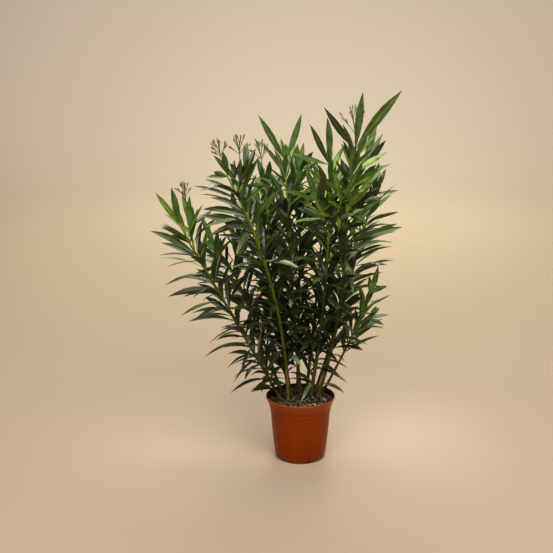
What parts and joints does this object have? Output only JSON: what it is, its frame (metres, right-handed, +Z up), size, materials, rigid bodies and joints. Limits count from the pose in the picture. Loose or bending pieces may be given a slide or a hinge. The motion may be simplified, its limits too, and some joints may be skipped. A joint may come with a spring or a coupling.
{
  "type": "potted oleander shrub",
  "caption": "Upright evergreen shrub with narrow whorled leaves and small bud clusters, growing in a round tapered plastic nursery pot.",
  "frame": {"origin": "centre of the pot's flat underside", "axes": "+Z up from the pot to the crown, -Y towards the side that the picture shows, +X to its right"},
  "size_m": [0.7416, 0.5194, 1.1134],
  "materials": {
    "pot": "satin",
    "soil": "matte",
    "stem": "matte",
    "foliage": "satin"
  },
  "bodies": {
    "root": {"pot": "pot", "soil": "soil", "stem_front_left": "stem", "foliage_front_left": "foliage", "stem_left": "stem", "foliage_left": "foliage", "stem_left_back": "stem", "foliage_left_back": "foliage", "stem_centre_left": "stem", "foliage_centre_left": "foliage", "stem_centre": "stem", "foliage_centre": "foliage", "stem_centre_back": "stem", "foliage_centre_back": "foliage", "stem_right_centre": "stem", "foliage_right_centre": "foliage", "stem_right": "stem", "foliage_right": "foliage", "stem_right_side": "stem", "foliage_right_side": "foliage", "stem_right_back": "stem", "foliage_right_back": "foliage", "stem_back": "stem", "foliage_back": "foliage", "stem_back_left": "stem", "foliage_back_left": "foliage"}
  },
  "joints": []
}
